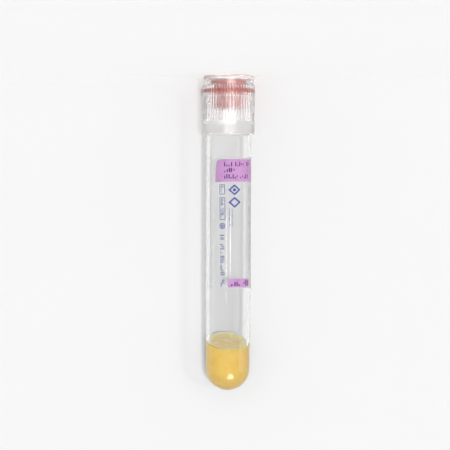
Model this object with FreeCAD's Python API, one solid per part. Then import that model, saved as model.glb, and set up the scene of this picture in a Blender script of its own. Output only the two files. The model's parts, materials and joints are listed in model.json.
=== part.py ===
import FreeCAD, Part
import math
import os

# Evacuated blood collection tube: clear tube, separator gel, film label, rubber stopper and shield.
#
# Millimetres. Each piece is modelled the way the tube is held: +Z runs along its axis from the round bottom,
# at height 0, to the mouth, and -Y is the side with the print. The round bottom can't stand, and on its side the
# tube rolls, so stand_on_shield() turns everything over: the shield's flat top is then on the surface, the print
# still faces -Y, and the origin is on that surface and on the axis.

os.makedirs("parts", exist_ok=True)

# Tube: one moulding with a straight land, drafted below it down to a round bottom with a ringed gate mark.
tube_length = 102.5
tube_diameter = 15.7
tube_wall = 1.0
land_start = 35.0
bottom_drop = 0.25
mouth_swell = 0.04
rim_round = 0.25
gate_radius = 0.8
gate_ring_width = 0.5
gate_ring_rise = 0.2

# Separator gel: fills the round bottom up to a plane that the spin left slanted.
gel_height = 16.9
gel_slope = 22.5
gel_turn = 9.5
gel_clearance = 0.01

# Label: a clear film round most of the straight land, its angles counted from the middle of the print side.
film_thickness = 0.08
film_above_land_start = 0.6
film_below_shield = 7.8
film_first_edge = -38.0
film_wrap = 292.0
film_corner_round = 1.5

# Stopper: plug in the mouth, flange on the rim, boss under the shield's roof.
plug_clearance = 0.03
plug_seal_depth = 3.4
plug_depth = 4.9
plug_tip_inset = 0.95
plug_tip_round = 0.5
flange_thickness = 2.3
boss_radius = 6.2
boss_height = 3.15
boss_round = 0.4
well_radius = 2.25
well_depth = 2.8
dish_radius = 4.0
dish_depth = 0.6
plug_tip_width = 1.97
recess_depth = 2.2
recess_lean = 0.4
recess_crown = 0.4
recess_round = 0.6

# Shield: a cap with a grip of fine ribs. The grooves between them run out flush with its lower band.
roof_thickness = 1.45
roof_hole_radius = 4.7
roof_hole_bevel = 0.3
roof_round = 0.55
top_band_height = 3.2
lower_band_height = 3.3
skirt_length = 13.6
skirt_clearance = 0.15
skirt_wall = 1.05
skirt_edge_round = 0.25
skirt_lead_in = 0.3
lower_ledge_grip = 0.2
upper_ledge_grip = 0.45
rib_count = 52
rib_height = 0.3
groove_width = 0.62
groove_floor_width = 0.3

# What follows from the sizes above.
tube_radius = tube_diameter / 2
bore_radius = tube_radius - tube_wall
bottom_radius = tube_radius - bottom_drop
mouth_radius = tube_radius + mouth_swell
plug_radius = bore_radius - plug_clearance
plug_tip = tube_length - plug_depth
plug_tip_radius = plug_radius - plug_tip_inset
recess_radius = plug_tip_radius - plug_tip_width
skirt_bore = mouth_radius + skirt_clearance
skirt_radius = skirt_bore + skirt_wall
flange_radius = skirt_bore + lower_ledge_grip
flange_top = tube_length + flange_thickness
boss_top = flange_top + boss_height
shield_top = boss_top + roof_thickness
shield_bottom = tube_length - skirt_length
top_band_radius = skirt_radius - rib_height
rib_foot = shield_bottom + lower_band_height
rib_head = shield_top - top_band_height


def vector(point):
    return FreeCAD.Vector(point[0], 0, point[1])


def rounded_corner(before, corner, after, radius):
    """The two tangent points and the middle of an arc that rounds one corner of an outline."""
    here = vector(corner)
    back = (vector(before) - here).normalize()
    ahead = (vector(after) - here).normalize()
    half = back.getAngle(ahead) / 2
    bisector = (back + ahead).normalize()
    run = radius / math.tan(half)
    reach = radius / math.sin(half) - radius
    return here + back * run, here + bisector * reach, here + ahead * run


def turned(corners):
    """A solid turned about Z from an outline of (radius, height, corner round) corners, listed in order."""
    edges = []
    starts = []
    ends = []
    for index, (radius, height, corner_round) in enumerate(corners):
        if corner_round:
            before = corners[index - 1][:2]
            after = corners[(index + 1) % len(corners)][:2]
            start, middle, end = rounded_corner(before, (radius, height), after, corner_round)
            edges.append(Part.Arc(start, middle, end).toShape())
        else:
            start = vector((radius, height))
            end = start
        starts.append(start)
        ends.append(end)
    for index in range(len(corners)):
        start = ends[index]
        end = starts[(index + 1) % len(corners)]
        edges.append(Part.LineSegment(start, end).toShape())
    wire = Part.Wire(Part.__sortEdges__(edges))
    return turn_face(Part.Face(wire), 360)


def turn_face(face, degrees):
    return face.revolve(FreeCAD.Vector(0, 0, 0), FreeCAD.Vector(0, 0, 1), degrees)


def round_bottomed(wall_radius, ball_radius, top):
    """A solid with a straight wall above land_start and a drafted one below it, tangent to its round bottom."""
    rise = land_start - bottom_radius
    draft = math.acos(ball_radius / math.hypot(wall_radius, rise)) - math.atan2(rise, wall_radius)
    low = (0, bottom_radius - ball_radius)
    halfway = math.radians(45) + draft / 2
    middle = (ball_radius * math.cos(halfway), bottom_radius - ball_radius * math.sin(halfway))
    tangent = (ball_radius * math.cos(draft), bottom_radius - ball_radius * math.sin(draft))
    wall = [tangent, (wall_radius, land_start), *top, (0, top[-1][1]), low]
    edges = [Part.Arc(vector(low), vector(middle), vector(tangent)).toShape()]
    for start, end in zip(wall, wall[1:]):
        edges.append(Part.LineSegment(vector(start), vector(end)).toShape())
    return turn_face(Part.Face(Part.Wire(edges)), 360)


def make_tube():
    outside = round_bottomed(
        tube_radius,
        bottom_radius,
        [(tube_radius, shield_bottom), (mouth_radius, tube_length)],
    )
    inside = round_bottomed(bore_radius, bottom_radius - tube_wall, [(bore_radius, tube_length)])
    gate_ring = turned(
        [
            (gate_radius, -tube_wall, 0),
            (gate_radius + gate_ring_width, -tube_wall, 0),
            (gate_radius + gate_ring_width, gate_ring_rise, 0),
            (gate_radius, gate_ring_rise, 0),
        ]
    )
    tube = outside.cut([inside, gate_ring])
    rim = [edge for edge in tube.Edges if abs(edge.BoundBox.ZMin - tube_length) < 1e-6]
    return tube.makeFillet(rim_round, rim)


def make_gel():
    filled = round_bottomed(
        bore_radius - gel_clearance,
        bottom_radius - tube_wall - gel_clearance,
        [(bore_radius - gel_clearance, shield_bottom)],
    )
    side = 2 * tube_length
    emptied = Part.makeBox(side, side, side, FreeCAD.Vector(-side / 2, -side / 2, 0))
    emptied.rotate(FreeCAD.Vector(0, 0, 0), FreeCAD.Vector(1, 0, 0), gel_slope)
    emptied.rotate(FreeCAD.Vector(0, 0, 0), FreeCAD.Vector(0, 0, 1), gel_turn)
    emptied.translate(FreeCAD.Vector(0, 0, gel_height))
    return filled.cut(emptied)


def make_label():
    bottom = land_start + film_above_land_start
    top = shield_bottom - film_below_shield
    outer = tube_radius + film_thickness
    corners = [(tube_radius, bottom), (outer, bottom), (outer, top), (tube_radius, top)]
    section = Part.Face(Part.makePolygon([vector(corner) for corner in corners + corners[:1]]))
    inset = math.degrees(film_corner_round / tube_radius)
    cutters = [
        corner_cutter(0, film_wrap - inset, top - film_corner_round),
        corner_cutter(90, inset, top - film_corner_round),
        corner_cutter(180, inset, bottom + film_corner_round),
        corner_cutter(270, film_wrap - inset, bottom + film_corner_round),
    ]
    film = turn_face(section, film_wrap).cut(cutters)
    film.rotate(FreeCAD.Vector(0, 0, 0), FreeCAD.Vector(0, 0, 1), film_first_edge - 90)
    return film


def corner_cutter(quarter, degrees, height):
    """What rounding one corner of the film removes: a block less a pin that points outwards from the axis."""
    reach = 2 * film_corner_round
    start = FreeCAD.Vector(tube_radius - film_corner_round / 2, 0, 0)
    block = Part.makeBox(film_corner_round, reach, reach, start)
    pin = Part.makeCylinder(film_corner_round, film_corner_round, start, FreeCAD.Vector(1, 0, 0))
    cutter = block.cut(pin)
    cutter.rotate(FreeCAD.Vector(0, 0, 0), FreeCAD.Vector(1, 0, 0), quarter)
    cutter.rotate(FreeCAD.Vector(0, 0, 0), FreeCAD.Vector(0, 0, 1), degrees)
    cutter.translate(FreeCAD.Vector(0, 0, height))
    return cutter


def make_stopper():
    well_floor = boss_top - dish_depth - well_depth
    recess_top = plug_tip + recess_depth
    return turned(
        [
            (0, well_floor, 0),
            (well_radius, well_floor, 0),
            (well_radius, boss_top - dish_depth, 0),
            (dish_radius, boss_top, 0),
            (boss_radius, boss_top, boss_round),
            (boss_radius, flange_top, 0),
            (flange_radius, flange_top, 0),
            (flange_radius, tube_length, 0),
            (plug_radius, tube_length, 0),
            (plug_radius, tube_length - plug_seal_depth, 0),
            (plug_tip_radius, plug_tip, plug_tip_round),
            (recess_radius, plug_tip, 0),
            (recess_radius - recess_lean, recess_top - recess_crown, recess_round),
            (0, recess_top, 0),
        ]
    )


def make_shield():
    shell = turned(
        [
            (0, shield_top, 0),
            (top_band_radius, shield_top, roof_round),
            (top_band_radius, rib_head, 0),
            (skirt_radius, rib_head, 0),
            (skirt_radius, shield_bottom, skirt_edge_round),
            (0, shield_bottom, 0),
        ]
    )
    inside = turned(
        [
            (0, shield_bottom, 0),
            (skirt_bore + skirt_lead_in, shield_bottom, 0),
            (skirt_bore, shield_bottom + skirt_lead_in, 0),
            (skirt_bore, tube_length, 0),
            (flange_radius, tube_length, 0),
            (flange_radius, flange_top, 0),
            (flange_radius - upper_ledge_grip, flange_top, 0),
            (flange_radius - upper_ledge_grip, boss_top, 0),
            (roof_hole_radius, boss_top, 0),
            (roof_hole_radius, shield_top - roof_hole_bevel, 0),
            (roof_hole_radius + roof_hole_bevel, shield_top, 0),
            (0, shield_top, 0),
        ]
    )
    return shell.cut([inside, *grip_grooves()])


def grip_grooves():
    """Cutters for the grooves between the ribs: as deep as the ribs at the head, slanting out to nothing."""
    flare = (groove_width - groove_floor_width) / 2
    section = [
        (top_band_radius, -groove_floor_width / 2),
        (skirt_radius + rib_height, -groove_floor_width / 2 - 2 * flare),
        (skirt_radius + rib_height, groove_floor_width / 2 + 2 * flare),
        (top_band_radius, groove_floor_width / 2),
    ]
    corners = [FreeCAD.Vector(radial, across, rib_head) for radial, across in section]
    slant = FreeCAD.Vector(rib_height, 0, rib_foot - rib_head)
    cutter = Part.Face(Part.makePolygon(corners + corners[:1])).extrude(slant)
    axis = FreeCAD.Vector(0, 0, 1)
    origin = FreeCAD.Vector(0, 0, 0)
    return [cutter.rotated(origin, axis, 360 * index / rib_count) for index in range(rib_count)]


def stand_on_shield(shape):
    turned_over = shape.copy()
    turned_over.rotate(FreeCAD.Vector(0, 0, 0), FreeCAD.Vector(0, 1, 0), 180)
    turned_over.translate(FreeCAD.Vector(0, 0, shield_top))
    return turned_over


pieces = {
    "tube": make_tube(),
    "separator_gel": make_gel(),
    "label": make_label(),
    "stopper": make_stopper(),
    "shield": make_shield(),
}
for name, piece in pieces.items():
    stand_on_shield(piece).exportStep(f"parts/{name}.step")
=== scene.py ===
import json
import math
import random

import bmesh
import bpy
from mathutils import Matrix, Vector


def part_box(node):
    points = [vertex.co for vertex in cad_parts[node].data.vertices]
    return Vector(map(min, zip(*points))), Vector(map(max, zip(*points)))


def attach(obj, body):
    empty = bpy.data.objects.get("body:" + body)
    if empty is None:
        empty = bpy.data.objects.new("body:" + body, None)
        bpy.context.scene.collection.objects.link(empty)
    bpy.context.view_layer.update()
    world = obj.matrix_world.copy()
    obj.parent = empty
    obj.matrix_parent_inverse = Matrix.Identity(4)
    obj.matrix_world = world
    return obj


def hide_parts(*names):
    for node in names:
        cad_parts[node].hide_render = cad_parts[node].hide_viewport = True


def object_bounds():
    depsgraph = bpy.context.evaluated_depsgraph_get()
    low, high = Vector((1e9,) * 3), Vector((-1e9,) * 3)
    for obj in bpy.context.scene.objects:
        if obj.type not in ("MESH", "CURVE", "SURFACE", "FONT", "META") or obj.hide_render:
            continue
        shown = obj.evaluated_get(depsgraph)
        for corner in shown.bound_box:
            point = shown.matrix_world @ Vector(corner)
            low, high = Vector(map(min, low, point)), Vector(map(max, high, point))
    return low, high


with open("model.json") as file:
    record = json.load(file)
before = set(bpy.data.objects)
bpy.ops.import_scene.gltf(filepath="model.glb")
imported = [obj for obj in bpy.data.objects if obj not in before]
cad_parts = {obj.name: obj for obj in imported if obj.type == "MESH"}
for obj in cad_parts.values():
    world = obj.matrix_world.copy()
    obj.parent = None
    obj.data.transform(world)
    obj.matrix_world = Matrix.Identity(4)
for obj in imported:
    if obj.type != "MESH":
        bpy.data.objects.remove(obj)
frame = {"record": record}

# Looks of an evacuated blood collection tube that stands on its shield, round bottom up.
#
# The frame is in metres, with the surface at z = 0, the axis on Z and the print towards -Y. Sizes below are
# in millimetres and angles in degrees; mm turns sizes into metres. A height is counted from the round bottom
# towards the mouth, as on the real tube, and at_height() turns it into z. On the print, x runs round the
# tube from the middle of the print side, and y is a height.

mm = 0.001
cad_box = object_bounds()
mounts = {mount["name"]: mount for mount in frame["record"]["mounts"]}

# What the frame says.
tube_low, tube_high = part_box("tube")
shield_low, shield_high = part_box("shield")
stopper_low, stopper_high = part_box("stopper")
label_low, label_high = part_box("label")
bottom_z = tube_high.z / mm
mouth_z = tube_low.z / mm
skirt_edge_z = shield_high.z / mm
boss_z = stopper_low.z / mm
plug_tip_z = stopper_high.z / mm
film_low_z = label_low.z / mm
film_high_z = label_high.z / mm
skirt_radius = shield_high.x / mm
film_radius = label_high.y / mm
tube_radius = mounts["tube_wall"]["dims"]["r_mm"]
well_radius = mounts["needle_well"]["dims"]["r_mm"]
well_depth = mounts["needle_well"]["dims"]["length_mm"]

# Tube. A drafted wall joins the ball of the bottom to the straight land, which starts at height land_start.
tube_wall = 1.0
land_start = 35.0
bottom_drop = 0.25
mouth_swell = 0.04
rim_round = 0.3
rim_frost_depth = 0.55
bore_radius = tube_radius - tube_wall
outer_ball = tube_radius - bottom_drop
inner_ball = outer_ball - tube_wall
gate_radius = 0.8
gate_ring_width = 0.5
gate_ring_rise = 0.2

# Gel. It wets the wall, so its mesh reaches gel_wet into it and no air gap shows.
gel_height = 16.9
gel_slope = 22.5
gel_turn = 9.5
gel_wet = 0.02
meniscus_rise = 0.35
meniscus_reach = 0.45
ripple_rise = 0.08
# Depth of the band of painted shade along the gel's contact line.
gel_painted_shade_depth = 0.25

# Film and print.
film_first_edge = -38.0
film_wrap = 292.0
film_corner = 1.5
film_depth = 0.05
print_lean = 1.0
ink_lift = 0.02
ink_depth = 0.008
top_ink_lift = 0.032
top_ink_depth = 0.006

# Closure.
rubber_air = 0.03
rubber_contact = 0.02
flange_z = mouth_z - 2.3
flange_radius = 8.24
boss_radius = 6.2
dish_radius = 4.0
dish_depth = 0.6
seal_z = mouth_z + 3.4
plug_radius = bore_radius - rubber_air
plug_tip_radius = 5.87
recess_radius = 3.9
recess_lean = 0.4
recess_depth = 2.2
recess_crown = 0.4
recess_round = 0.6
roof_hole_radius = 4.7
rib_count = 52
rib_height = 0.3
rib_head_z = 3.2
rib_head_run = 0.35
rib_foot_z = skirt_edge_z - 3.3
groove_floor = 0.1
groove_flank = 0.22
skirt_bore = tube_radius + mouth_swell + 0.15
skirt_chamfer = 0.3
top_band_radius = skirt_radius - rib_height
bore_band_z = rib_foot_z - 1.5

# Steps round the axis.
around = 256
stopper_around = 192
shield_around = rib_count * 12

# Brightness of lamps, of the room for each kind of ray, and of the white floor.
key_strength = 1.77
side_strength = 0.4
glare_strength = 4.0
back_strength = 1.3
card_strength = 0.0026
world_strength = 0.33
mirror_strength = 0.2
room_strength = 0.45
floor_lift = 0.56
white_strength = 0.93


def at_height(height):
    return bottom_z - height


# ---------------------------------------------------------------- meshes


def finish_mesh(name, mesh, sharp_angle=35):
    """A smooth-shaded object from a bmesh, with its sharp edges kept."""
    bmesh.ops.recalc_face_normals(mesh, faces=mesh.faces)
    data = bpy.data.meshes.new(name)
    mesh.to_mesh(data)
    mesh.free()
    data.shade_smooth()
    data.set_sharp_from_angle(angle=math.radians(sharp_angle))
    made = bpy.data.objects.new(name, data)
    bpy.context.scene.collection.objects.link(made)
    return made


def rounded(corners, steps=6):
    """The points of an outline of (radius, z, corner round) corners, each round drawn as an arc."""
    points = []
    for index, (radius, z, corner_round) in enumerate(corners):
        here = Vector((radius, z))
        if not corner_round:
            points.append(here)
            continue
        back = (Vector(corners[index - 1][:2]) - here).normalized()
        ahead = (Vector(corners[(index + 1) % len(corners)][:2]) - here).normalized()
        half = back.angle(ahead) / 2
        middle = here + (back + ahead).normalized() * corner_round / math.sin(half)
        run = corner_round / math.tan(half)
        start = here + back * run - middle
        sweep = start.angle_signed(here + ahead * run - middle)
        for step in range(steps + 1):
            turn = Matrix.Rotation(-sweep * step / steps, 2)
            points.append(middle + turn @ start)
    return points


def turned(mesh, outline, count=around, radius_at=None):
    """Turns an outline of (radius, z) points about the axis.

    It closes on itself, unless it starts and ends on the axis. radius_at can change a point's radius.
    """
    rings = []
    for radius, z in outline:
        if radius < 1e-6:
            rings.append([mesh.verts.new((0, 0, z * mm))])
            continue
        ring = []
        for index in range(count):
            angle = 2 * math.pi * index / count
            reach = radius_at(radius, z, angle) if radius_at else radius
            ring.append(point_at(mesh, reach, angle, z))
        rings.append(ring)
    pairs = list(zip(rings, rings[1:]))
    if len(rings[0]) > 1:
        pairs.append((rings[-1], rings[0]))
    for lower, upper in pairs:
        join_rings(mesh, lower, upper, count)


def point_at(mesh, radius, angle, z):
    return mesh.verts.new((radius * mm * math.cos(angle), radius * mm * math.sin(angle), z * mm))


def join_rings(mesh, lower, upper, count):
    """Faces between two rings of points, either of which may be a single point on the axis."""
    for index in range(count):
        following = (index + 1) % count
        if len(lower) == 1:
            mesh.faces.new((lower[0], upper[following], upper[index]))
        elif len(upper) == 1:
            mesh.faces.new((lower[index], lower[following], upper[0]))
        else:
            mesh.faces.new((lower[index], lower[following], upper[following], upper[index]))


def round_bottom(wall_radius, ball_radius, steps=28):
    """Points (radius, z) from the axis along the round bottom and the drafted wall to the straight land."""
    centre = outer_ball
    rise = land_start - centre
    draft = math.acos(ball_radius / math.hypot(wall_radius, rise)) - math.atan2(rise, wall_radius)
    points = []
    for step in range(steps + 1):
        angle = math.radians(90) - (math.radians(90) - draft) * step / steps
        radius = ball_radius * math.cos(angle) if step else 0
        points.append(Vector((radius, at_height(centre - ball_radius * math.sin(angle)))))
    points.append(Vector((wall_radius, at_height(land_start))))
    return points


# ---------------------------------------------------------------- flat shapes wrapped round the tube


def wrap(mesh, radius, thickness, angle_step=3.0):
    """Bends a flat mesh of millimetres, x round the tube and y a height, to a thin closed shell."""
    step = math.radians(angle_step) * radius
    low = min(vertex.co.x for vertex in mesh.verts)
    high = max(vertex.co.x for vertex in mesh.verts)
    for index in range(math.ceil(low / step), math.floor(high / step) + 1):
        everything = mesh.verts[:] + mesh.edges[:] + mesh.faces[:]
        cut = (index * step, 0, 0)
        bmesh.ops.bisect_plane(mesh, geom=everything, plane_co=cut, plane_no=(1, 0, 0), dist=1e-5)
    bmesh.ops.triangulate(mesh, faces=[face for face in mesh.faces if len(face.verts) > 4])
    for face in mesh.faces:
        if face.normal.z < 0:
            face.normal_flip()
    bmesh.ops.solidify(mesh, geom=mesh.faces[:], thickness=thickness)
    for vertex in mesh.verts:
        x, y, z = vertex.co
        angle = x / radius
        reach = radius + z
        place = Vector((-reach * math.sin(angle), -reach * math.cos(angle), at_height(y)))
        vertex.co = place * mm


def polygon(mesh, points):
    """A flat face with its corners in order, leaning as the print does."""
    lean = Matrix.Rotation(math.radians(print_lean), 2)
    middle = Vector((0, (at_height(film_low_z) + at_height(film_high_z)) / 2))
    corners = [lean @ (Vector(point) - middle) + middle for point in points]
    return mesh.faces.new([mesh.verts.new((x, y, 0)) for x, y in corners])


def block(left, bottom, right, top, corner=0.0, steps=5):
    """Corners of an upright rectangle with round corners."""
    if not corner:
        return [(left, bottom), (right, bottom), (right, top), (left, top)]
    points = []
    middles = [
        (right - corner, bottom + corner, 270),
        (right - corner, top - corner, 0),
        (left + corner, top - corner, 90),
        (left + corner, bottom + corner, 180),
    ]
    for x, y, first in middles:
        for step in range(steps + 1):
            angle = math.radians(first + 90 * step / steps)
            points.append((x + corner * math.cos(angle), y + corner * math.sin(angle)))
    return points


def disc(x, y, radius, sides=20):
    """Corners of a many-sided disc."""
    points = []
    for index in range(sides):
        angle = 2 * math.pi * index / sides
        points.append((x + radius * math.cos(angle), y + radius * math.sin(angle)))
    return points


def outlined(mesh, points, width):
    """A band of the given width just inside a convex outline."""
    smallest_spread = 0.3
    count = len(points)
    centre = sum((Vector(point) for point in points), Vector((0, 0))) / count
    inner = []
    for index in range(count):
        here = Vector(points[index])
        ahead = (Vector(points[(index + 1) % count]) - here).normalized()
        back = (here - Vector(points[index - 1])).normalized()
        inward = Vector((-ahead.y - back.y, ahead.x + back.x)).normalized()
        if inward.dot(centre - here) < 0:
            inward = -inward
        spread = max(smallest_spread, abs(Vector((-ahead.y, ahead.x)).dot(inward)))
        inner.append(here + inward * width / spread)
    for index in range(count):
        following = (index + 1) % count
        polygon(mesh, [points[index], points[following], inner[following], inner[index]])


# ---------------------------------------------------------------- material helpers


def fill(material, socket, value):
    """Gives a socket a constant, or a link from another node's socket."""
    if isinstance(value, bpy.types.NodeSocket):
        material.node_tree.links.new(value, socket)
    else:
        socket.default_value = value


def add_node(material, kind, inputs, **settings):
    """A node with its inputs filled, by name or by number, and its settings set."""
    made = material.node_tree.nodes.new(kind)
    for name, value in settings.items():
        setattr(made, name, value)
    for name, value in inputs.items():
        fill(material, made.inputs[name], value)
    return made


def new_material(name, **inputs):
    """A material with one Principled shader. Returns the material and the shader."""
    material = bpy.data.materials.new(name)
    material.use_nodes = True
    shader = material.node_tree.nodes["Principled BSDF"]
    for key, value in inputs.items():
        shader.inputs[key.replace("_", " ")].default_value = value
    return material, shader


def texture_space(material, stretch=(1, 1, 1)):
    """Object coordinates in millimetres, stretched along each axis."""
    place = add_node(material, "ShaderNodeTexCoord", {}).outputs["Object"]
    scale = [1 / (mm * share) for share in stretch]
    return add_node(material, "ShaderNodeMapping", {"Vector": place, "Scale": scale}).outputs[0]


def noise(material, size, detail=2.0, stretch=(1, 1, 1)):
    """Soft noise with patches about size millimetres across, from 0 to 1."""
    space = texture_space(material, stretch)
    inputs = {"Vector": space, "Scale": 1 / size, "Detail": detail, "Roughness": 0.55}
    return add_node(material, "ShaderNodeTexNoise", inputs).outputs["Fac"]


def between(material, share, low, high, start=0.3, end=0.7):
    """Goes from low to high as share goes from start to end."""
    inputs = {"Value": share, "From Min": start, "From Max": end, "To Min": low, "To Max": high}
    return add_node(material, "ShaderNodeMapRange", inputs).outputs["Result"]


def blended(material, share, first, second):
    """A colour that goes from first to second with share."""
    made = material.node_tree.nodes.new("ShaderNodeMix")
    made.data_type = "RGBA"
    fill(material, made.inputs["Factor"], share)
    fill(material, made.inputs["A"], (*first, 1) if isinstance(first, tuple) else first)
    fill(material, made.inputs["B"], (*second, 1) if isinstance(second, tuple) else second)
    return made.outputs["Result"]


def bump(material, height, distance, strength=1.0):
    """A bump normal from a height between 0 and 1, as deep as distance in millimetres."""
    inputs = {"Height": height, "Distance": distance * mm, "Strength": strength}
    return add_node(material, "ShaderNodeBump", inputs).outputs["Normal"]


def show(material, shader):
    output = material.node_tree.nodes["Material Output"]
    material.node_tree.links.new(shader, output.inputs["Surface"])


def either(material, first, second):
    return add_node(material, "ShaderNodeMath", {0: first, 1: second}, operation="MAXIMUM").outputs[0]


def mixed_shader(material, share, first, second):
    return add_node(material, "ShaderNodeMixShader", {0: share, 1: first, 2: second}).outputs[0]


def see_through(material, **inputs):
    return add_node(material, "ShaderNodeBsdfTransparent", inputs).outputs[0]


def light_passes(material, shader, face_on, edge_on, graze=0.6, tint=(1, 1, 1)):
    """Shows the shader, and lets light shine straight through, so that what is behind is lit.

    The share face_on of the light passes, or edge_on where it grazes the surface by more than graze.
    """
    grazing = add_node(material, "ShaderNodeLayerWeight", {"Blend": 0.5}).outputs["Facing"]
    graze_share = between(material, grazing, 0, 1, graze, 0.98)
    first = tuple(face_on * part for part in tint)
    last = tuple(edge_on * part for part in tint)
    clear = see_through(material, Color=blended(material, graze_share, first, last))
    path = add_node(material, "ShaderNodeLightPath", {})
    lighting = either(material, path.outputs["Is Shadow Ray"], path.outputs["Is Diffuse Ray"])
    show(material, mixed_shader(material, lighting, shader, clear))


def srgb(red, green, blue):
    """A colour written in sRGB steps of 0 to 255, as the linear one that a shader takes."""
    linear = []
    for step in (red, green, blue):
        share = step / 255
        linear.append(share / 12.92 if share <= 0.04045 else ((share + 0.055) / 1.055) ** 2.4)
    return tuple(linear)


# ---------------------------------------------------------------- materials


def clear_wall_material():
    """Clear plastic with the faint waves of a moulded wall."""
    material, shader = new_material("clear_wall", Transmission_Weight=1.0, IOR=1.57)
    haze = noise(material, size=9, detail=3, stretch=(1, 1, 3))
    tint = blended(material, haze, (0.975, 0.98, 0.98), (0.995, 0.995, 0.99))
    waves = noise(material, size=5, detail=1, stretch=(1, 1, 6))
    fill(material, shader.inputs["Base Color"], tint)
    fill(material, shader.inputs["Roughness"], between(material, haze, 0.004, 0.02))
    fill(material, shader.inputs["Normal"], bump(material, waves, distance=0.006))
    light_passes(material, shader.outputs[0], face_on=0.958, edge_on=0.4, graze=0.42)
    return material


def frost_material(name, clear, density, first, second):
    """Matt faces of a clear piece, white where light catches them."""
    material, shader = new_material(name, Transmission_Weight=clear, IOR=density)
    grain = noise(material, size=0.4, detail=3)
    fill(material, shader.inputs["Base Color"], blended(material, grain, first, second))
    fill(material, shader.inputs["Roughness"], between(material, grain, 0.3, 0.45))
    fill(material, shader.inputs["Normal"], bump(material, grain, distance=0.01))
    light_passes(material, shader.outputs[0], face_on=0.97, edge_on=0.85)
    return material


def rim_frost_material():
    return frost_material("rim_frost", 0.15, 1.57, srgb(248, 246, 245), srgb(253, 253, 252))


# Matt white faces, with a painted pink tint that stands in for the red stopper's light glowing through the
# plastic.
def shield_frost_painted_pink_glow_material():
    return frost_material("shield_frost_painted_pink_glow", 0.0, 1.49, srgb(253, 241, 239), srgb(255, 248, 246))


def gel_material(name, first, second):
    """Cloudy gel that light soaks into, and that tints the light it lets through."""
    material, shader = new_material(name, IOR=1.45, Subsurface_Weight=0.95, Subsurface_Scale=9 * mm)
    shader.inputs["Subsurface Radius"].default_value = (1.0, 0.75, 0.35)
    cloud = noise(material, size=4, detail=3)
    dents = noise(material, size=2.5, detail=2)
    fill(material, shader.inputs["Base Color"], blended(material, cloud, first, second))
    fill(material, shader.inputs["Roughness"], between(material, cloud, 0.2, 0.35))
    fill(material, shader.inputs["Normal"], bump(material, dents, distance=0.03))
    light_passes(material, shader.outputs[0], face_on=0.35, edge_on=0.2, graze=0.4, tint=(1.0, 0.82, 0.5))
    return material


def gel_side_material():
    return gel_material("gel", srgb(231, 194, 94), srgb(237, 205, 120))


# Painted light: the top is a lighter copy of the gel, standing in for the light that falls on its top.
def gel_top_painted_light_material():
    return gel_material("gel_top", srgb(238, 214, 156), srgb(243, 223, 176))


# Painted shade: a darker copy of the gel, for the dark line along its contact with the wall.
def gel_edge_painted_shade_material():
    return gel_material("gel_edge_painted_shade", srgb(188, 164, 92), srgb(200, 176, 104))


def film_material():
    """Clear film: see-through face on, and a dull shine where it is seen at a graze."""
    material, shader = new_material("film", IOR=1.5)
    haze = noise(material, size=3, detail=4)
    tint = blended(material, haze, (0.88, 0.88, 0.9), (0.95, 0.95, 0.95))
    wrinkles = noise(material, size=1.6, detail=3, stretch=(1, 1, 2))
    fill(material, shader.inputs["Base Color"], tint)
    fill(material, shader.inputs["Roughness"], between(material, haze, 0.12, 0.22))
    fill(material, shader.inputs["Normal"], bump(material, wrinkles, distance=0.004))
    shine = add_node(material, "ShaderNodeFresnel", {"IOR": 1.3}).outputs[0]
    share = between(material, shine, 0.08, 0.5, start=0.0, end=1.0)
    mixed = mixed_shader(material, share, see_through(material), shader.outputs[0])
    light_passes(material, mixed, face_on=0.995, edge_on=0.95)
    return material


def ink_material(name, first, second, cover):
    """Printed ink that lets a little light through, and is thinner in places."""
    material, shader = new_material(name, IOR=1.5)
    spread = noise(material, size=1.6, detail=4)
    tint = blended(material, between(material, spread, 0, 1), first, second)
    fill(material, shader.inputs["Base Color"], tint)
    fill(material, shader.inputs["Roughness"], between(material, spread, 0.22, 0.4))
    fill(material, shader.inputs["Normal"], bump(material, spread, distance=0.005))
    share = between(material, spread, cover, cover - 0.12)
    mixed = mixed_shader(material, share, see_through(material), shader.outputs[0])
    light_passes(material, mixed, face_on=0.85, edge_on=0.75)
    return material


def lilac_ink_material():
    return ink_material("lilac_ink", srgb(205, 148, 206), srgb(219, 170, 221), 0.95)


def purple_ink_material():
    return ink_material("purple_ink", srgb(66, 22, 108), srgb(88, 42, 130), 0.98)


def blue_ink_material():
    return ink_material("blue_ink", srgb(66, 78, 158), srgb(88, 100, 176), 0.97)


def grey_ink_material():
    return ink_material("grey_ink", srgb(150, 150, 158), srgb(176, 176, 182), 0.7)


def stopper_material():
    """Dull rubber with a dusty bloom."""
    material, shader = new_material("stopper_rubber", IOR=1.5)
    dust = noise(material, size=1.2, detail=5)
    tint = blended(material, between(material, dust, 0, 1), srgb(172, 64, 56), srgb(188, 86, 76))
    grain = noise(material, size=0.35, detail=4)
    fill(material, shader.inputs["Base Color"], tint)
    fill(material, shader.inputs["Roughness"], between(material, dust, 0.5, 0.68))
    fill(material, shader.inputs["Normal"], bump(material, grain, distance=0.02))
    return material


def shield_material(name, first, second, clear, dull, density, face_on, edge_on):
    """Slightly milky plastic. clear is the share that light goes through, dull the lowest roughness."""
    material, shader = new_material(name, Transmission_Weight=clear, IOR=density, Sheen_Weight=0.4)
    shader.inputs["Specular IOR Level"].default_value = 0.65
    cloud = noise(material, size=2.5, detail=4)
    dents = noise(material, size=0.8, detail=2)
    fill(material, shader.inputs["Base Color"], blended(material, cloud, first, second))
    fill(material, shader.inputs["Roughness"], between(material, cloud, dull, dull + 0.08))
    fill(material, shader.inputs["Normal"], bump(material, dents, distance=0.003))
    light_passes(material, shader.outputs[0], face_on, edge_on)
    return material


def shield_plastic_material():
    tints = ((0.97, 0.965, 0.96), (0.99, 0.985, 0.98))
    return shield_material("shield_plastic", *tints, 0.94, 0.16, 1.49, 1.0, 0.45)


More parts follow.
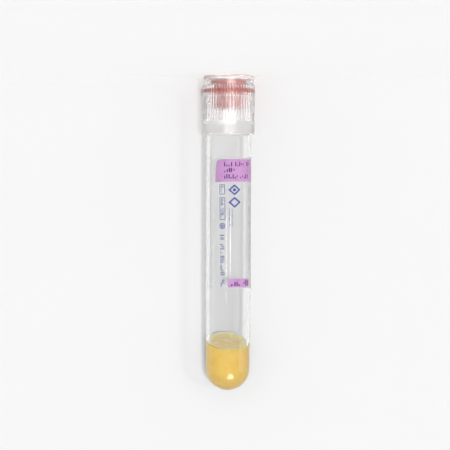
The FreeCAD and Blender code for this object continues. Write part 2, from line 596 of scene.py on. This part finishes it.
# Painted shade: the grooves are a darker grey copy of the plastic, standing in for the dark lines between
# the ribs.
def shield_groove_painted_shade_material():
    tints = ((0.6, 0.57, 0.57), (0.7, 0.67, 0.67))
    return shield_material("shield_groove_painted_shade", *tints, 0.94, 0.26, 1.49, 0.95, 0.8)


def shield_band_material():
    tints = ((0.9, 0.895, 0.89), (0.93, 0.925, 0.92))
    return shield_material("shield_band", *tints, 0.9, 0.3, 1.24, 1.0, 0.45)


# ---------------------------------------------------------------- pieces


def make_tube():
    """The tube with its gate ring. The faces at its rim get the second material."""
    outside = round_bottom(tube_radius, outer_ball)
    inside = round_bottom(bore_radius, inner_ball)
    rim = rounded(
        [
            (tube_radius, skirt_edge_z, 0),
            (tube_radius + mouth_swell, mouth_z, rim_round),
            (bore_radius, mouth_z, rim_round),
            (bore_radius, skirt_edge_z, 0),
        ]
    )
    mesh = bmesh.new()
    turned(mesh, with_gate_ring(outside) + rim + inside[::-1])
    tube = finish_mesh("tube_wall_clear", mesh)
    give_material(tube, 1, lambda place, facing: place.z < mouth_z + rim_frost_depth)
    return tube


def give_material(piece, index, chosen):
    """Another material for the faces that chosen picks, by their middle in millimetres and their normal."""
    for face in piece.data.polygons:
        if chosen(face.center / mm, face.normal):
            face.material_index = index


def with_gate_ring(points):
    """The round bottom's outline with a shallow ring round the gate mark."""
    clearance = 0.1
    outer = gate_radius + gate_ring_width
    inner_part = [point for point in points if point.x < gate_radius - clearance]
    outer_part = [point for point in points if point.x > outer + clearance]
    ring = []
    for radius, height in (
        (gate_radius, outer_ball - math.sqrt(outer_ball**2 - gate_radius**2)),
        (gate_radius, gate_ring_rise),
        (outer, gate_ring_rise),
        (outer, outer_ball - math.sqrt(outer_ball**2 - outer**2)),
    ):
        ring.append(Vector((radius, at_height(height))))
    return inner_part + ring + outer_part


def gel_surface(x, y):
    """Height of the slanted, slightly rippled top surface at a place (x, y) of the frame, in millimetres."""
    slant = math.tan(math.radians(gel_slope))
    turn = math.radians(gel_turn)
    level = gel_height + slant * (math.sin(turn) * x + math.cos(turn) * y)
    wall_gap = max(0.0, bore_radius - math.hypot(x, y))
    meniscus = meniscus_rise * math.exp(-wall_gap / meniscus_reach)
    ripple = ripple_rise * math.sin(0.9 * x + 0.4) * math.cos(0.7 * y - 0.3)
    return level + meniscus + ripple


def make_gel():
    """The gel's plug. Its top gets the second material, painted lighter as painted light, and the line where
    it meets the wall the third, painted darker as painted shade.
    """
    mesh = bmesh.new()
    ball = round_bottom(bore_radius + gel_wet, inner_ball + gel_wet, 20)[:-1]
    tangent = ball[-1]
    rings = [[mesh.verts.new((0, 0, ball[0].y * mm))]]
    for point in ball[1:]:
        rings.append(ring_of(mesh, lambda angle, point=point: point))
    for share in [row / 10 for row in range(1, 10)] + [0.965, 1]:
        rings.append(ring_of(mesh, lambda angle, share=share: gel_wall(angle, share, *tangent)))
    shares = [1 - 0.6 * (step / 14) ** 1.4 for step in range(1, 15)]
    shares += [0.4 * (1 - step / 6) for step in range(1, 6)]
    for share in shares:
        rings.append(ring_of(mesh, lambda angle, share=share: gel_top(angle, share)))
    rings.append([mesh.verts.new((0, 0, at_height(gel_surface(0, 0)) * mm))])
    for lower, upper in zip(rings, rings[1:]):
        join_rings(mesh, lower, upper, around)
    gel = finish_mesh("separator_gel_fill", mesh, 50)
    give_material(gel, 1, lambda place, facing: is_gel_top(facing))
    give_material(gel, 2, at_gel_painted_shade_line)
    return gel


def is_gel_top(facing):
    return facing.z < -0.6


def at_gel_painted_shade_line(place, facing):
    """The thin band of the wall just below the surface, painted darker: painted shade along the line where
    the gel's surface meets the wall.
    """
    below = place.z - at_height(gel_surface(place.x, place.y))
    at_wall = place.xy.length > bore_radius - 0.15
    return at_wall and below < gel_painted_shade_depth and not is_gel_top(facing)


def ring_of(mesh, place):
    """A ring of points, each at the (radius, z) that place gives for its angle."""
    ring = []
    for index in range(around):
        angle = 2 * math.pi * index / around
        radius, z = place(angle)
        ring.append(point_at(mesh, radius, angle, z))
    return ring


def gel_wall(angle, share, tangent_radius, tangent_z):
    """A point (radius, z) of the gel's side, at a share of the way from the ball to the surface."""
    contact_z = gel_top(angle, 1)[1]
    z = tangent_z + (contact_z - tangent_z) * share
    draft = (bore_radius - tangent_radius) / (at_height(land_start) - tangent_z)
    return tangent_radius + gel_wet + draft * (z - tangent_z), z


def gel_top(angle, share):
    """A point (radius, z) of the gel's surface, at a share of the way from the axis to the wall."""
    radius = (bore_radius - 0.05) * share
    return radius, at_height(gel_surface(radius * math.cos(angle), radius * math.sin(angle)))


def make_film():
    mesh = bmesh.new()
    left = math.radians(film_first_edge) * film_radius
    right = math.radians(film_first_edge + film_wrap) * film_radius
    corners = block(left, at_height(film_high_z), right, at_height(film_low_z), film_corner, 8)
    mesh.faces.new([mesh.verts.new((x, y, 0)) for x, y in corners])
    wrap(mesh, film_radius, film_depth, angle_step=2.0)
    return finish_mesh("label_film", mesh)


def make_stopper():
    """The stopper stays a hair of air away from what it faces, and a hair into what grips its flange."""
    well_floor = boss_z + dish_depth + well_depth
    flange_foot_z = flange_z + 1.3
    flange_chamfer = 0.12
    crown_z = plug_tip_z - recess_depth
    outline = rounded(
        [
            (0, well_floor, 0),
            (well_radius, well_floor, 0.15),
            (well_radius, boss_z + dish_depth, 0.15),
            (dish_radius, boss_z + rubber_air, 0.3),
            (boss_radius, boss_z + rubber_air, 0.4),
            (boss_radius, flange_z + rubber_air, 0.15),
            (flange_radius + rubber_contact, flange_z + rubber_air, 0.05),
            (flange_radius + rubber_contact, flange_foot_z, 0.0),
            (flange_radius - flange_chamfer, mouth_z - rubber_air, 0.12),
            (plug_radius, mouth_z - rubber_air, 0),
            (plug_radius, seal_z, 0.4),
            (plug_tip_radius, plug_tip_z, 0.5),
            (recess_radius, plug_tip_z, 0.25),
            (recess_radius - recess_lean, crown_z + recess_crown, recess_round),
            (0, crown_z, 0),
        ]
    )
    mesh = bmesh.new()
    turned(mesh, outline, stopper_around)
    return finish_mesh("rubber_stopper", mesh)


def rib_radius(radius, z, angle):
    """The skirt's outside: round-backed ribs between grooves that run out towards the lower band."""
    if radius < top_band_radius - 0.6 or not rib_head_z <= z < rib_foot_z:
        return radius
    pitch = 2 * math.pi / rib_count
    across = abs((angle / pitch + 0.5) % 1 - 0.5) * pitch * skirt_radius
    groove = 1 - smooth_step((across - groove_floor) / groove_flank)
    depth = rib_height * (rib_foot_z - z) / (rib_foot_z - rib_head_z)
    return min(radius, skirt_radius - depth * groove)


def smooth_step(share):
    """Goes gently from 0 to 1 as share does."""
    share = min(1.0, max(0.0, share))
    return share * share * (3 - 2 * share)


def make_shield():
    """The ribbed shield. Its matt ends, its grooves, painted darker as painted shade, and its lower band get
    materials of their own.
    """
    mesh = bmesh.new()
    turned(mesh, shield_outside() + shield_inside(), shield_around, rib_radius)
    shield = finish_mesh("ribbed_shield", mesh)
    give_material(shield, 1, lambda place, facing: is_frosted(place))
    give_material(shield, 2, lambda place, facing: is_groove(place))
    give_material(shield, 3, lambda place, facing: is_band(place))
    return shield


def shield_outside():
    """Points (radius, z) from the roof's hole over the top band and down the ribs to their feet."""
    roof = [
        (roof_hole_radius + 0.3, 0, 0),
        (top_band_radius, 0, 0.55),
        (top_band_radius, rib_head_z, 0),
    ]
    points = rounded(roof)[:-1]
    for z in (1.2, 2.0, 2.8, 3.1):
        points.append(Vector((top_band_radius, z)))
    head_steps = 6
    for step in range(head_steps + 1):
        rise = math.radians(90) * step / head_steps
        radius = top_band_radius + rib_height * math.sin(rise)
        points.append(Vector((radius, rib_head_z + rib_head_run * (1 - math.cos(rise)))))
    rows = 26
    start = rib_head_z + rib_head_run
    for row in range(1, rows + 1):
        points.append(Vector((skirt_radius, start + (rib_foot_z - start) * row / rows)))
    return points


def shield_inside():
    """Points (radius, z) from the lower band round the skirt's edge and up the inside to the roof's hole."""
    ledge_radius = flange_radius - 0.45
    return rounded(
        [
            (skirt_radius, rib_foot_z + 1, 0),
            (skirt_radius, skirt_edge_z, 0.25),
            (skirt_bore + skirt_chamfer, skirt_edge_z, 0.12),
            (skirt_bore, skirt_edge_z - skirt_chamfer, 0),
            (skirt_bore, bore_band_z, 0),
            (skirt_bore, mouth_z, 0),
            (flange_radius, mouth_z, 0),
            (flange_radius, flange_z, 0.1),
            (ledge_radius, flange_z, 0.1),
            (ledge_radius, boss_z, 0.3),
            (roof_hole_radius, boss_z, 0.15),
            (roof_hole_radius, 0.3, 0),
        ]
    )


def is_frosted(place):
    return place.z < boss_z - 0.05 or place.z > skirt_edge_z - skirt_chamfer


def is_groove(place):
    between_ribs = skirt_bore + 0.3 < place.xy.length < skirt_radius - 0.03
    return rib_head_z < place.z < rib_foot_z and between_ribs


def is_band(place):
    """The smooth lower band, and the bore from a little above it, which mirror less than the ribs."""
    start = bore_band_z if place.xy.length < skirt_bore + 0.05 else rib_foot_z
    return start < place.z < skirt_edge_z - skirt_chamfer


# ---------------------------------------------------------------- print


def make_lilac_blocks():
    """The large field with its cut corner, and the small one."""
    mesh = bmesh.new()
    low_edge = [(-4.6, 72.4), (12.4, 72.4)]
    high_edge = [(12.4, 80.2), (-2.6, 80.2)]
    cut_corner = [(-3.4, 79.9), (-3.9, 79.3), (-4.1, 78.5)]
    polygon(mesh, low_edge + high_edge + cut_corner)
    polygon(mesh, block(-0.45, 35.95, 8.5, 38.9, 0.15))
    wrap(mesh, film_radius + ink_lift, ink_depth)
    return finish_mesh("print_lilac", mesh)


def bars_along(mesh, chance, start, end, level, height, stroke, upright):
    """A row of short bars, the rhythm of small print with nothing to read.

    An upright row runs round the tube from x = start to end, at the height level. The others run along the
    tube from height start to end, at x = level.
    """
    place = start
    direction = 1 if end > start else -1
    while (end - place) * direction > stroke:
        for _ in range(chance.randint(3, 7)):
            if (end - place) * direction < stroke:
                break
            low = level + height * chance.choice((0, 0, 0, 0.35))
            high = level + height * chance.choice((1, 1, 0.7))
            if chance.random() < 0.3:
                high = low + height * 0.35
            far = place + direction * stroke
            if upright:
                polygon(mesh, block(min(place, far), low, max(place, far), high))
            else:
                polygon(mesh, block(low, min(place, far), high, max(place, far)))
            place += direction * stroke * chance.choice((1.7, 2.0, 2.4))
        place += direction * stroke * 2.2


def make_purple_print():
    """Three rows of print on the large lilac field, and one on the small field."""
    chance = random.Random(4)
    mesh = bmesh.new()
    for level, start, end in ((77.7, -1.2, 9.6), (75.7, -1.2, 2.6), (73.5, -1.2, 9.0)):
        bars_along(mesh, chance, start, end, level, 1.5, 0.38, True)
    bars_along(mesh, chance, 0.7, 7.9, 36.4, 2.0, 0.46, True)
    wrap(mesh, film_radius + top_ink_lift, top_ink_depth)
    return finish_mesh("print_purple", mesh)


def make_blue_print():
    """A column of boxes, a ring and rows of print, beside two diamonds and two fine rows."""
    chance = random.Random(7)
    mesh = bmesh.new()
    for bottom, top in ((68.1, 71.6), (59.3, 67.1)):
        outlined(mesh, block(-2.95, bottom, -1.0, top, 0.3, 3), 0.2)
        bars_along(mesh, chance, top - 0.5, bottom + 0.4, -2.5, 1.0, 0.22, False)
    outlined(mesh, disc(-2.1, 57.2, 1.0), 0.3)
    polygon(mesh, disc(-2.1, 57.2, 0.4))
    for start, end in ((54.1, 52.0), (50.9, 47.6), (46.9, 39.3), (38.7, 36.3)):
        bars_along(mesh, chance, start, end, -3.0, 1.5, 0.3, False)
    for middle in (69.6, 65.3):
        diamond = [(2.35, middle - 1.9), (4.6, middle), (2.35, middle + 1.9), (0.1, middle)]
        outlined(mesh, diamond, 0.55)
    polygon(mesh, disc(2.35, 69.6, 0.55))
    bars_along(mesh, chance, 63.2, 56.2, 0.2, 0.6, 0.18, False)
    bars_along(mesh, chance, 63.2, 56.2, 1.25, 0.45, 0.14, False)
    wrap(mesh, film_radius + ink_lift, ink_depth)
    return finish_mesh("print_blue", mesh)


def make_grey_print():
    """Faint rows of print along the right side."""
    chance = random.Random(11)
    mesh = bmesh.new()
    place = 70.4
    gap = 0.9
    for length in (5.4, 4.0, 6.5, 3.2, 5.6):
        bars_along(mesh, chance, place, place - length, 8.6, 1.3, 0.24, False)
        place -= length + gap
    wrap(mesh, film_radius + ink_lift, ink_depth)
    return finish_mesh("print_grey", mesh)


# ---------------------------------------------------------------- stage


def stage_shader(name, lift):
    """Plain white, lifted by a share of white for the camera. Returns the material and the shader."""
    material, shader = new_material(name, Roughness=0.9)
    grain = noise(material, size=30)
    tint = blended(material, grain, (0.93, 0.93, 0.93), (0.945, 0.945, 0.945))
    fill(material, shader.inputs["Base Color"], tint)
    seen = add_node(material, "ShaderNodeLightPath", {}).outputs["Is Camera Ray"]
    strength = add_node(material, "ShaderNodeMath", {0: seen, 1: lift}, operation="MULTIPLY")
    shader.inputs["Emission Color"].default_value = (1, 1, 1, 1)
    fill(material, shader.inputs["Emission Strength"], strength.outputs[0])
    return material, shader


def floor_material():
    """The floor is plain white where it is seen through the clear pieces."""
    material, shader = stage_shader("floor_white", floor_lift)
    through = add_node(material, "ShaderNodeLightPath", {}).outputs["Is Transmission Ray"]
    white = add_node(material, "ShaderNodeEmission", {"Strength": white_strength}).outputs[0]
    show(material, mixed_shader(material, through, shader.outputs[0], white))
    return material


def sheet_material():
    """The sheet isn't there from behind, nor for the light that dull surfaces gather."""
    material, shader = stage_shader("backdrop_white", 0.0)
    behind = add_node(material, "ShaderNodeNewGeometry", {}).outputs["Backfacing"]
    gathering = add_node(material, "ShaderNodeLightPath", {}).outputs["Is Diffuse Ray"]
    gone = either(material, behind, gathering)
    show(material, mixed_shader(material, gone, shader.outputs[0], see_through(material)))
    return material


def make_plane(name, corners, material):
    data = bpy.data.meshes.new(name)
    data.from_pydata(corners, [], [(0, 1, 2, 3)])
    data.materials.append(material)
    made = bpy.data.objects.new(name, data)
    bpy.context.scene.collection.objects.link(made)
    return made


def make_stage():
    """A floor, and a white sheet just behind the tube, which shows only from in front."""
    reach = 3.0
    low = -0.02 * mm
    lean_height = 0.15
    back = shield_high.y + 0.2 * mm
    back_at_height = (tube_radius + 0.1) * mm
    top = back - (back - back_at_height) / lean_height * reach
    floor = [(-reach, -reach, low), (reach, -reach, low), (reach, reach, low), (-reach, reach, low)]
    sheet = [(-reach, back, low), (reach, back, low), (reach, top, reach), (-reach, top, reach)]
    make_plane("floor", floor, floor_material())
    make_plane("backdrop", sheet, sheet_material())


# ---------------------------------------------------------------- lamps


def towards(turn, rise):
    """A direction turned from -Y towards -X, and raised, in degrees."""
    turn = math.radians(turn)
    rise = math.radians(rise)
    return Vector((-math.sin(turn) * math.cos(rise), -math.cos(turn) * math.cos(rise), math.sin(rise)))


def add_lamp(name, kind, direction, strength):
    """A lamp that shines from a direction, and that the camera doesn't see."""
    data = bpy.data.lights.new(name, kind)
    data.energy = strength
    made = bpy.data.objects.new(name, data)
    made.rotation_euler = direction.to_track_quat("Z", "Y").to_euler()
    made.visible_camera = False
    bpy.context.scene.collection.objects.link(made)
    return made


def seen_by(lamp, diffuse=False, glossy=False, transmission=False):
    """Which kinds of surface the lamp lights."""
    lamp.visible_diffuse = diffuse
    lamp.visible_glossy = glossy
    lamp.visible_transmission = transmission


def add_disc_lamp(name, direction, distance, width, strength):
    """A round lamp that faces the middle of the tube."""
    made = add_lamp(name, "AREA", direction, strength)
    made.data.shape = "DISK"
    made.data.size = width
    made.location = Vector((0, 0, (cad_box[0].z + cad_box[1].z) / 2)) + direction * distance
    return made


def add_sun(name, direction, width, strength):
    """A far lamp, soft by its width, that leaves no mirror image in the clear wall."""
    made = add_lamp(name, "SUN", direction, strength)
    made.data.angle = math.radians(width)
    seen_by(made, diffuse=True)
    return made


def add_shield_card(name, side):
    """A small white card beside the shield, which only shows through its clear plastic."""
    made = add_lamp(name, "AREA", Vector((side, 0, 0)), card_strength)
    made.data.shape = "RECTANGLE"
    made.data.size = 40 * mm
    made.data.size_y = 16 * mm
    made.location = (side * 26 * mm, -10 * mm, 8 * mm)
    seen_by(made, transmission=True)


def group_of(name, pieces):
    group = bpy.data.collections.new(name)
    for piece in pieces:
        group.objects.link(piece)
    return group


def light_only(lamp, pieces, blockers):
    """The lamp lights these pieces only, and only the blockers cast its shadow."""
    lamp.light_linking.receiver_collection = group_of(lamp.name + "_on", pieces)
    lamp.light_linking.blocker_collection = group_of(lamp.name + "_blockers", blockers)


def light_front(tube, shield):
    """The key and side lamps, whose light makes the shadow, and a glare down the shield's ribs."""
    add_sun("key", towards(9, 4), 7, key_strength)
    side_lamp = add_sun("side", towards(38, 3), 8, side_strength)
    side_lamp.light_linking.blocker_collection = group_of("side_blockers", [tube])
    glare = add_sun("shield_glare", towards(13, 4), 40, glare_strength)
    seen_by(glare, glossy=True)
    light_only(glare, [shield], [shield])
    add_shield_card("left_card", 1)
    add_shield_card("right_card", -1)


def light_pieces(shield, stopper, gel, prints):
    """Wide fills, each for one piece, and one from behind.

    A fill for the stopper alone made the result differ from run to run, so it has none.
    """
    width = 60
    fills = (
        ("gel_fill", gel, towards(-45, -35), 1.9),
        ("gel_left_fill", gel, towards(-80, -10), 0.5),
        ("roof_fill", shield, towards(-10, -55), 2.4),
        ("skirt_fill", shield, towards(0, 60), 1.2),
    )
    for name, piece, direction, strength in fills:
        light_only(add_sun(name, direction, width, strength), [piece], [piece])
    back = add_sun("back", towards(180, 15), width, back_strength)
    light_only(back, [shield, stopper, gel, *prints], [stopper, gel])


def light_glints():
    """Small lamps for the thin glint down the wall, the spot on the bottom and the wall's bright side."""
    add_disc_lamp("wall_glint", towards(11, 1), distance=0.7, width=0.06, strength=0.05)
    bottom = add_disc_lamp("bottom_glint", towards(18.4, 44), distance=0.8, width=0.42, strength=2.4)
    seen_by(bottom, glossy=True)
    card = add_disc_lamp("side_card", towards(80, 0), distance=0.5, width=0.4, strength=0.36)
    seen_by(card, glossy=True)


def make_room():
    """A white room, of its own brightness for each kind of ray that meets it."""
    world = bpy.data.worlds.new("studio")
    world.use_nodes = True
    background = world.node_tree.nodes["Background"]
    background.inputs["Color"].default_value = (1.0, 1.0, 1.0, 1)
    path = world.node_tree.nodes.new("ShaderNodeLightPath")
    strength = world_strength
    for ray, brightness in (
        ("Is Glossy Ray", mirror_strength),
        ("Is Transmission Ray", room_strength),
        ("Is Camera Ray", white_strength),
    ):
        step = world.node_tree.nodes.new("ShaderNodeMapRange")
        world.node_tree.links.new(path.outputs[ray], step.inputs["Value"])
        fill(world, step.inputs["To Min"], strength)
        step.inputs["To Max"].default_value = brightness
        strength = step.outputs[0]
    world.node_tree.links.new(strength, background.inputs["Strength"])
    bpy.context.scene.world = world


# ---------------------------------------------------------------- camera


def make_camera():
    """Square on to the print, the shield at the top of the picture as the tube is usually held."""
    distance = 0.7
    beside = 1.12 * mm
    height = 0.0519
    lean = math.radians(0.2)
    data = bpy.data.cameras.new("camera")
    data.sensor_width = 36
    data.lens = 160.7
    right = Vector((-math.cos(lean), 0, -math.sin(lean)))
    up = Vector((math.sin(lean), 0, -math.cos(lean)))
    back = Vector((0, -1, 0))
    turn = Matrix((right, up, back)).transposed().to_4x4()
    made = bpy.data.objects.new("camera", data)
    made.matrix_world = Matrix.Translation((beside, -distance, height)) @ turn
    bpy.context.scene.collection.objects.link(made)
    bpy.context.scene.camera = made


# ---------------------------------------------------------------- assembly


def dress(piece, materials, body):
    """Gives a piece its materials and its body."""
    for material in materials:
        piece.data.materials.append(material)
    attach(piece, body)
    return piece


tube_materials = [clear_wall_material(), rim_frost_material()]
tube = dress(make_tube(), tube_materials, "tube_body")
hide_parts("tube")

gel_materials = [gel_side_material(), gel_top_painted_light_material(), gel_edge_painted_shade_material()]
gel = dress(make_gel(), gel_materials, "tube_body")
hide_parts("separator_gel")

film = dress(make_film(), [film_material()], "tube_body")
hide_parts("label")

stopper = dress(make_stopper(), [stopper_material()], "closure")
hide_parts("stopper")

shield_materials = [
    shield_plastic_material(),
    shield_frost_painted_pink_glow_material(),
    shield_groove_painted_shade_material(),
    shield_band_material(),
]
shield = dress(make_shield(), shield_materials, "closure")
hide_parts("shield")

prints = [
    dress(make_lilac_blocks(), [lilac_ink_material()], "tube_body"),
    dress(make_purple_print(), [purple_ink_material()], "tube_body"),
    dress(make_blue_print(), [blue_ink_material()], "tube_body"),
    dress(make_grey_print(), [grey_ink_material()], "tube_body"),
]

make_stage()
light_front(tube, shield)
light_pieces(shield, stopper, gel, prints)
light_glints()
make_room()
make_camera()
bpy.context.scene.view_settings.view_transform = "Standard"
bpy.context.scene.cycles.transparent_max_bounces = 32
bpy.context.scene.cycles.max_bounces = 20
bpy.context.scene.cycles.transmission_bounces = 20
